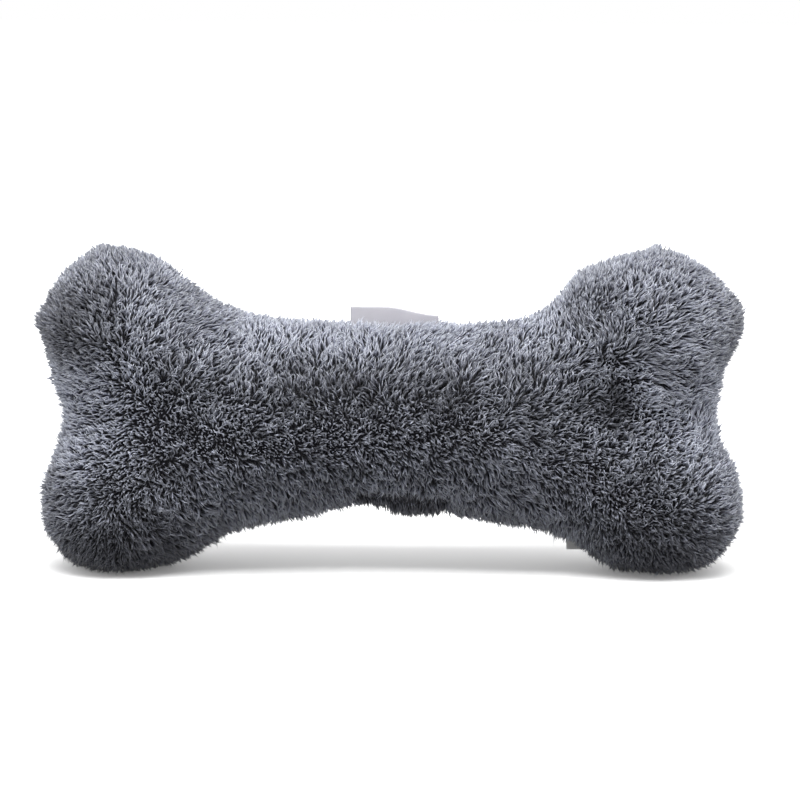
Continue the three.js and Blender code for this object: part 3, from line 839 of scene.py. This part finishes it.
def lock_paths(rng, skin_points):
    """Each fibre's centre line from root to tip, its tone, and its lock's root."""
    normals = unit(skin_slope(skin_points))
    front = skin_points[:, 1] < 0
    way, lay = np.zeros_like(skin_points), np.zeros(len(skin_points))
    for chosen, strokes in ((front, FRONT_STROKES), (~front, BACK_STROKES)):
        way[chosen], lay[chosen] = comb(skin_points[chosen], normals[chosen], strokes)
    flatter = np.clip((skin_points[:, 2] - LOW_PILE_TOP) / (HIGH_PILE_START - LOW_PILE_TOP), 0, 1)
    lay *= LOW_LAY + (1 - LOW_LAY) * flatter
    skin_points = skin_points + normals * bulge(skin_points, normals)[:, None]
    ridge, crease = closing_zones(skin_points)
    locks = len(skin_points)
    turn = soft_noise(skin_points, "wide turn") + soft_noise(skin_points, "middle turn")
    turn += soft_noise(skin_points, "fine turn") * (FINE_TURN_END - lay)
    turn += rng.normal(0, LOCK_TURN_SPREAD, locks) * (LOCK_TURN_END - lay) ** 2
    turn += ridge * soft_noise(skin_points, "ridge turn")
    way = turn_about(way, normals, turn)
    lay = lay + soft_noise(skin_points, "lay") + rng.normal(0, LOCK_LAY_SPREAD, locks)
    lay = np.clip(lay, 0, 1)
    rim = np.exp(-((skin_points[:, 1] / RIM_HALF_DEPTH) ** 2))
    lean = np.radians(STANDING_LEAN + LEAN_GAIN * lay)
    lean *= 1 - RIDGE_RISE * ridge
    lean *= 1 - RIM_RISE * rim
    length = FIBRE_LENGTH * (STANDING_LENGTH + LENGTH_GAIN * lay)
    length *= 1 + soft_noise(skin_points, "length")
    uneven = rng.normal(1, LOCK_LENGTH_SPREAD, locks)
    uneven += RIM_LENGTH_SPREAD * rim * rng.normal(size=locks)
    length *= uneven
    length += (1 - BULGE_SHARE) * at_places(skin_points, PILE_SWELLS)
    length *= 1 - RIM_TRIM * rim
    length *= (1 - CREASE_TRIM * crease) * (1 - RIDGE_TRIM * ridge)
    roots = skin_points - normals * (PILE_DEPTH + ROOT_SINK + CREASE_PULL * crease)[:, None]
    tone = MIDDLE_TONE + (LOCK_TONE_SPREAD - HIGH_TONE_CALM * flatter) * rng.normal(size=locks)
    tone += soft_noise(skin_points, "tone")
    # The patches add tone, and painted light and shade
    tone += at_places(skin_points, PILE_TONE_AND_PAINTED_LIGHT) * np.where(front, 1, BACK_PATCH_SHARE)
    # The ridge and its crease are darkened as painted shade
    tone = np.clip(tone + CLOSING_PAINTED_SHADE * np.maximum(ridge, crease), 0, 1)

    normals, way, lay, lean, length, roots, tone = (
        np.repeat(values, FIBRES_PER_LOCK, 0)
        for values in (normals, way, lay, lean, length, roots, tone)
    )
    fibres = len(lean)
    across = np.cross(normals, way)
    angle = rng.uniform(0, 2 * math.pi, fibres)
    spread = LOCK_RADIUS * np.sqrt(rng.uniform(0, 1, fibres))
    offset = way * (spread * np.cos(angle))[:, None] + across * (spread * np.sin(angle))[:, None]
    length = length * rng.normal(1, FIBRE_LENGTH_SPREAD, fibres)
    lean = lean + rng.normal(0, FIBRE_LEAN_SPREAD, fibres)
    curl = np.repeat(rng.normal(0, LOCK_CURL_SPREAD, locks), FIBRES_PER_LOCK)
    curl *= LOCK_CURL_END - lay
    curl += rng.normal(0, FIBRE_CURL_SPREAD, fibres)

    place = roots + offset
    path = [place]
    for start, end in zip(STATIONS, STATIONS[1:]):
        middle = (start + end) / 2
        tilt = np.clip(lean * (ROOT_LEAN_SHARE + middle), 0, MOST_LEAN)
        heading = way * np.cos(curl * middle)[:, None] + across * np.sin(curl * middle)[:, None]
        step = normals * np.cos(tilt)[:, None] + heading * np.sin(tilt)[:, None]
        place = place + step * (length * (end - start))[:, None]
        path.append(place)
    path = np.stack(path, 1)
    path -= offset[:, None] * (LOCK_DRAW_IN * STATIONS)[None, :, None]
    path[:, 1:-1] += rng.normal(0, FIBRE_KINK, path[:, 1:-1].shape)
    floor = FLOOR_REST + FIBRE_WIDTH * (1 - STATIONS)
    path[..., 2] = np.maximum(path[..., 2], floor)
    tone = np.clip(tone + rng.normal(0, FIBRE_TONE_SPREAD, fibres), 0, 1)
    return path, tone, roots


def clear_of_ribbons(path):
    """Fibres that don't grow through the labels."""
    clear = np.ones(len(path), bool)
    margin = np.array([RIBBON_CLEARANCE, RIBBON_CLEARANCE, RIBBON_CLEARANCE_UP])
    for node in ("top_label", "care_label"):
        low, high = (np.array(corner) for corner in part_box(node))
        along, through, level = np.moveaxis((path > low - margin) & (path < high + margin), -1, 0)
        beside = along & level
        within = (beside & through).any(1)
        crosses = beside.any(1) & (path[:, 0, 1] * path[:, -1, 1] < 0)
        clear &= ~(within | crosses)
    return clear


def fibre_mesh(rng, name, path, tone):
    """Closed three-sided tapering fibres along the paths, with their map."""
    count, rings = len(path), len(FIBRE_WIDTH_SHARES)
    heading = unit(np.diff(path, axis=1))
    heading = unit(np.concatenate([heading[:, :1], heading[:, :-1] + heading[:, 1:]], 1))
    reference = unit(rng.normal(size=(count, 1, 3)))
    side = unit(np.cross(heading, reference))
    lift = np.cross(heading, side)
    turn = 2 * math.pi * np.arange(FIBRE_SIDES) / FIBRE_SIDES
    half = FIBRE_WIDTH / 2 * FIBRE_WIDTH_SHARES[None, :, None, None]
    ring = side[:, :, None] * np.cos(turn)[:, None] + lift[:, :, None] * np.sin(turn)[:, None]
    points = path[:, :rings, None] + half * ring
    points = np.concatenate([points.reshape(count, -1, 3), path[:, rings:]], 1)
    points[..., 2] = np.maximum(points[..., 2], FLOOR_REST)

    corners, starts, places = [], [], []
    tip = rings * FIBRE_SIDES

    def add_face(vertices, spots):
        starts.append(len(corners))
        corners.extend(vertices)
        places.extend(spots)

    add_face([2, 1, 0], [(1.0, 0.0), (0.5, 0.02), (0.0, 0.0)])
    for level in range(rings):
        low, high = STATIONS[level], STATIONS[level + 1]
        for k in range(FIBRE_SIDES):
            here, there = level * FIBRE_SIDES + k, level * FIBRE_SIDES + (k + 1) % FIBRE_SIDES
            left, right = k / FIBRE_SIDES, (k + 1) / FIBRE_SIDES
            if level + 1 < rings:
                add_face(
                    [here, there, there + FIBRE_SIDES, here + FIBRE_SIDES],
                    [(left, low), (right, low), (right, high), (left, high)],
                )
            else:
                add_face([here, there, tip], [(left, low), (right, low), ((left + right) / 2, high)])
    corners, starts, places = np.array(corners), np.array(starts), np.array(places)
    all_corners = corners[None] + (tip + 1) * np.arange(count)[:, None]
    all_starts = starts[None] + len(corners) * np.arange(count)[:, None]
    all_places = np.repeat(places[None], count, 0)
    all_places[..., 0] = (tone * (1 - FIBRE_MAP_WIDTH))[:, None] + all_places[..., 0] * FIBRE_MAP_WIDTH

    mesh = bpy.data.meshes.new(name)
    mesh.vertices.add(points.size // 3)
    mesh.vertices.foreach_set("co", points.ravel())
    mesh.loops.add(all_corners.size)
    mesh.loops.foreach_set("vertex_index", all_corners.ravel())
    mesh.polygons.add(all_starts.size)
    mesh.polygons.foreach_set("loop_start", all_starts.ravel())
    mesh.update(calc_edges=True)
    mesh.uv_layers.new(name="OFBake").uv.foreach_set("vector", all_places.ravel())
    mesh.shade_smooth()
    return mesh


def build_pile(material):
    rng = np.random.default_rng(SEED)
    path, tone, roots = lock_paths(rng, spread_points(rng, LOCK_SPACING))
    clear = clear_of_ribbons(path)
    path, tone, roots = path[clear], tone[clear], roots[clear]
    for panel, chosen in (("front", roots[:, 1] < 0), ("back", roots[:, 1] >= 0)):
        across = np.flatnonzero(chosen)
        across = across[np.argsort(roots[across, 0], kind="stable")]
        for number, here in enumerate(np.array_split(across, PANEL_COLUMNS)):
            name = f"{panel}_pile_{number + 1}"
            mesh = fibre_mesh(rng, name, path[here], tone[here])
            new_object(name, mesh, material)
    print("pile:", len(path), "fibres")


# Labels


def ribbon_mesh(name, width_steps, outline, thickness, shift):
    """A folded ribbon: the outline is its path from one sewn end over the fold to the other, in the
    plane across the seam, and shift moves each point of it according to its place along the width."""
    path = np.array(outline)
    tangent = unit(np.gradient(path, axis=0))
    normal = np.stack([-tangent[:, 1], tangent[:, 0]], 1)
    loop = np.concatenate([path + normal * thickness / 2, (path - normal * thickness / 2)[::-1]])
    points, faces = [], []
    for x in width_steps:
        points += [shift(x, y, z) for y, z in loop]
    size = len(loop)
    for i in range(len(width_steps) - 1):
        for k in range(size):
            a, b = i * size + k, i * size + (k + 1) % size
            faces.append((a, b, b + size, a + size))
    half = len(path)
    for i, flip in ((0, True), (len(width_steps) - 1, False)):
        for k in range(half - 1):
            a, b = i * size + k, i * size + k + 1
            c, d = i * size + size - 2 - k, i * size + size - 1 - k
            faces.append((a, d, c, b) if flip else (a, b, c, d))
    mesh = bpy.data.meshes.new(name)
    mesh.from_pydata(points, [], faces)
    mesh.update()
    mesh.shade_smooth()
    return mesh


def fold_outline(length, gap, steps):
    """A loop's section: up one leg, round the fold and down the other."""
    radius = gap / 2
    straight = length - radius
    leg = [(-radius, straight * k / steps) for k in range(steps)]
    turn = [math.pi - math.pi * k / FOLD_STEPS for k in range(FOLD_STEPS + 1)]
    fold = [(radius * math.cos(a), straight + radius * math.sin(a)) for a in turn]
    return leg + fold + [(-y, z) for y, z in reversed(leg)]


def build_top_label(material):
    """A folded satin loop in the top seam, sewn in aslant so that its right half stands lower."""
    low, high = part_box("top_label")
    length = high.z - low.z

    def shift(x, y, z):
        slant = min(max((x - LABEL_SLOPE_START) / (LABEL_SLOPE_END - LABEL_SLOPE_START), 0), 1)
        slant = slant * slant * (3 - 2 * slant)
        wave = LABEL_WAVE * math.sin(LABEL_WAVE_RATE * x + LABEL_WAVE_PHASE) * (z / length)
        lean = LABEL_LEAN * (z / length) ** 2
        taller = LABEL_EXTRA_HEIGHT - LABEL_DROP * slant
        return (x, y + wave + lean, low.z + z * (1 + taller / length))

    steps = np.linspace(low.x, high.x, LABEL_STEPS_ACROSS)
    outline = fold_outline(length, SATIN_FOLD, LABEL_STEPS_UP)
    mesh = ribbon_mesh("top_label_ribbon", steps, outline, SATIN_THICKNESS, shift)
    piece = new_object("top_label_ribbon", mesh, material, body=None)
    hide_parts("top_label")
    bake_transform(piece)


def build_care_tag(material):
    """A small white tape tag, folded, sewn in askew low on the right of the arch."""
    low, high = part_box("care_label")
    length = TAG_HELD + TAG_SHOWN
    turn = TAG_SLOPE + TAG_SKEW
    out = Vector((-math.sin(turn), 0, -math.cos(turn)))
    along = Vector((math.cos(turn), 0, -math.sin(turn)))
    root = Vector(((low.x + high.x) / 2, 0, (low.z + high.z) / 2)) - out * (length / 2 + TAG_SUNK)

    def shift(x, y, z):
        curl = TAG_CURL * (z / length) ** 2
        return root + along * x + out * z + Vector((0, y + curl, 0))

    steps = np.linspace(-TAG_WIDTH / 2, TAG_WIDTH / 2, TAG_STEPS_ACROSS)
    outline = fold_outline(length, TAPE_FOLD, TAG_STEPS_UP)
    mesh = ribbon_mesh("care_tag", steps, outline, TAPE_THICKNESS, shift)
    piece = new_object("care_tag", mesh, material)
    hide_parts("care_label")


# Stuffing


def build_stuffing(node, material):
    """A packed lump of fibre in the place of its solid, with soft edges and a tangled surface."""
    source = frame["nodes"][node]
    mesh = source.data.copy()
    mesh.materials.clear()
    piece = new_object("stuffing" + node.removeprefix("fill"), mesh, material)
    remesh = piece.modifiers.new("even", "REMESH")
    remesh.mode = "VOXEL"
    remesh.voxel_size = STUFFING_CELL
    smooth = piece.modifiers.new("soft", "SMOOTH")
    smooth.iterations = STUFFING_SOFTENING
    apply_modifiers(piece)
    points = np.array([vertex.co for vertex in piece.data.vertices])
    normals = np.array([vertex.normal for vertex in piece.data.vertices])
    dent = STUFFING_SHRINK + soft_noise(points, "stuffing dents")
    piece.data.vertices.foreach_set("co", (points - normals * dent[:, None]).ravel())
    piece.data.shade_smooth()
    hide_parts(node)


# Squeaker


def build_bulb(material):
    """The squeaker's bellows: a thin moulded bulb with one crease and an open neck at the back."""
    low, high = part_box("squeaker_bulb")
    radius = (high.x - low.x) / 2
    centre_x, centre_z = (low.x + high.x) / 2, (low.z + high.z) / 2
    outside = [(across * radius, -along * BULB_HALF_DEPTH) for across, along in BULB_OUTLINE_SHARES]
    inside = [
        (max(across * (radius - BULB_WALL), 0), -along * (BULB_HALF_DEPTH - BULB_WALL))
        for across, along in BULB_OUTLINE_SHARES
    ]
    bore = NECK_RADIUS - BULB_WALL
    shoulder = NECK_START_SHARE * BULB_HALF_DEPTH
    neck = [(NECK_RADIUS, shoulder), (NECK_RADIUS, high.y)]
    neck += [(bore, high.y), (bore, shoulder - BULB_WALL)]
    profile = outside + neck + inside[::-1]
    mesh = bpy.data.meshes.new("squeaker_bellows")
    work = bmesh.new()
    turns = [2 * math.pi * k / BULB_SIDES for k in range(BULB_SIDES)]
    rings = []
    for across, along in profile:
        if across == 0:
            rings.append([work.verts.new((centre_x, along, centre_z))])
        else:
            spots = [(across * math.cos(a), across * math.sin(a)) for a in turns]
            rings.append([work.verts.new((centre_x + x, along, centre_z + z)) for x, z in spots])
    for first, second in zip(rings, rings[1:]):
        for k in range(BULB_SIDES):
            corners = [first[k % len(first)], first[(k + 1) % len(first)]]
            corners += [second[(k + 1) % len(second)], second[k % len(second)]]
            work.faces.new(list(dict.fromkeys(corners)))
    bmesh.ops.recalc_face_normals(work, faces=work.faces[:])
    work.to_mesh(mesh)
    work.free()
    mesh.shade_smooth()
    piece = new_object("squeaker_bellows", mesh, material)
    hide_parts("squeaker_bulb")
    joint = next(joint for joint in frame["joints"] if joint["name"] == "squeaker_squeeze")
    travel = max(abs(end) for end in joint["range_m"])
    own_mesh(piece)


def dress_node(node, material):
    piece = frame["nodes"][node]
    piece.data.materials.clear()
    piece.data.materials.append(material)


# Stage, light and camera


def add_range(tree, source, values):
    """Maps a value evenly: the values are its low and high, and what those become."""
    node = tree.nodes.new("ShaderNodeMapRange")
    for socket, value in zip(node.inputs[1:5], values):
        socket.default_value = value
    tree.links.new(source, node.inputs[0])
    return node.outputs[0]


def seen_directly(tree):
    """1 for rays from the camera, and for those that it sees in gloss or through glass."""
    light_path = tree.nodes.new("ShaderNodeLightPath")
    first = add_node(tree, "ShaderNodeMath", operation="MAXIMUM")
    tree.links.new(light_path.outputs["Is Camera Ray"], first.inputs[0])
    tree.links.new(light_path.outputs["Is Transmission Ray"], first.inputs[1])
    second = add_node(tree, "ShaderNodeMath", operation="MAXIMUM")
    tree.links.new(first.outputs[0], second.inputs[0])
    tree.links.new(light_path.outputs["Is Glossy Ray"], second.inputs[1])
    return second.outputs[0]


def finish_background(tree, output, lighting, seen):
    """Lights the toy with one shader, and shows the other where it is seen."""
    choose = tree.nodes.new("ShaderNodeMixShader")
    tree.links.new(seen_directly(tree), choose.inputs[0])
    tree.links.new(lighting.outputs[0], choose.inputs[1])
    tree.links.new(seen.outputs[0], choose.inputs[2])
    tree.links.new(choose.outputs[0], output.inputs["Surface"])


def build_stage():
    size = FLOOR_SIZE
    corners = [(-size, -size, 0), (size, -size, 0), (size, size, 0), (-size, size, 0)]
    mesh = bpy.data.meshes.new("floor")
    mesh.from_pydata(corners, [], [(0, 1, 2, 3)])
    material = bpy.data.materials.new("floor_paper")
    material.use_nodes = True
    tree = material.node_tree
    tree.nodes.clear()
    output = tree.nodes.new("ShaderNodeOutputMaterial")
    geometry = tree.nodes.new("ShaderNodeNewGeometry")
    away = add_node(tree, "ShaderNodeVectorMath", operation="LENGTH")
    tree.links.new(geometry.outputs["Position"], away.inputs[0])
    fade = add_range(tree, away.outputs["Value"], (SHADOW_REACH, SHADOW_END, PAPER_GLOW, 1.0))
    paper = add_node(tree, "ShaderNodeBsdfDiffuse", Color=(PAPER_SEEN, PAPER_SEEN, PAPER_SEEN, 1))
    glow = add_node(tree, "ShaderNodeEmission", Color=(1, 1, 1, 1))
    tree.links.new(fade, glow.inputs["Strength"])
    both = tree.nodes.new("ShaderNodeAddShader")
    tree.links.new(paper.outputs[0], both.inputs[0])
    tree.links.new(glow.outputs[0], both.inputs[1])
    bounced = (PAPER_BOUNCE, PAPER_BOUNCE, PAPER_BOUNCE, 1)
    bounce = add_node(tree, "ShaderNodeBsdfDiffuse", Color=bounced)
    finish_background(tree, output, bounce, both)
    floor = new_object("floor", mesh, material, body=None)


def build_world():
    world = bpy.data.worlds.new("studio")
    bpy.context.scene.world = world
    world.use_nodes = True
    tree = world.node_tree
    tree.nodes.clear()
    output = tree.nodes.new("ShaderNodeOutputWorld")
    coordinates = tree.nodes.new("ShaderNodeTexCoord")
    way = tree.nodes.new("ShaderNodeSeparateXYZ")
    tree.links.new(coordinates.outputs["Generated"], way.inputs[0])
    light = add_node(tree, "ShaderNodeBackground", Color=(1, 1, 1, 1))
    strength = add_range(tree, way.outputs["Z"], (0.0, 1.0, SKY_LEVEL, SKY_TOP))
    tree.links.new(strength, light.inputs["Strength"])
    white = add_node(tree, "ShaderNodeBackground", Color=(1, 1, 1, 1), Strength=1.0)
    finish_background(tree, output, light, white)


def add_lamp(name, place, size, power):
    data = bpy.data.lights.new(name, "AREA")
    data.shape = "RECTANGLE"
    data.size, data.size_y = size
    data.energy = power
    lamp = bpy.data.objects.new(name, data)
    bpy.context.scene.collection.objects.link(lamp)
    lamp.location = place
    lamp.rotation_euler = (Vector(LAMP_AIM) - Vector(place)).to_track_quat("-Z", "Y").to_euler()


def build_camera():
    data = bpy.data.cameras.new("camera")
    data.sensor_width = SENSOR_WIDTH
    data.lens = SENSOR_WIDTH * CAMERA_DISTANCE / FRAME_WIDTH
    data.clip_end = VIEW_END
    camera = bpy.data.objects.new("camera", data)
    bpy.context.scene.collection.objects.link(camera)
    aim = Vector(CAMERA_AIM)
    away = Vector((0, -math.cos(CAMERA_ELEVATION), math.sin(CAMERA_ELEVATION)))
    camera.location = aim + CAMERA_DISTANCE * away
    look = (-away).to_track_quat("-Z", "Y").to_matrix().to_4x4()
    camera.rotation_euler = look.to_euler()
    camera.rotation_euler.rotate_axis("Z", CAMERA_ROLL)
    bpy.context.scene.camera = camera


build_camera()
build_world()
build_stage()
for lamp, (place, size, power) in LAMPS.items():
    add_lamp(lamp, place, size, power)

pile = pile_material()
backing = backing_material()
stuffing = fibre_fill_material()
thread = thread_material()
build_backing("front_backing", "front_cover", -1, backing)
build_backing("back_backing", "back_cover", 1, backing)
build_pile(pile)
build_top_label(satin_material("grey_satin", (0.46, 0.45, 0.50), (0.54, 0.53, 0.575), 0.4))
build_care_tag(satin_material("white_tape", (0.90, 0.90, 0.90), (0.95, 0.95, 0.95), 0.6))
for filled in ("fill_shaft", "fill_knuckle_upper_left", "fill_knuckle_upper_right",
               "fill_knuckle_lower_left", "fill_knuckle_lower_right"):
    build_stuffing(filled, stuffing)
build_bulb(moulded_material("squeaker_vinyl", (0.72, 0.71, 0.63), (0.80, 0.79, 0.72), 0.4, 60.0))
dress_node("seam_thread", thread)
dress_node("closing_thread", thread)
reed_plastic = moulded_material("reed_plastic", (0.68, 0.69, 0.70), (0.76, 0.77, 0.78), 0.3, 90.0)
dress_node("squeaker_reed_housing", reed_plastic)
reed_steel = moulded_material("reed_steel", (0.52, 0.53, 0.55), (0.62, 0.63, 0.65), 0.35, 400.0)
dress_node("squeaker_reed", reed_steel)

bpy.context.scene.view_settings.view_transform = "Standard"
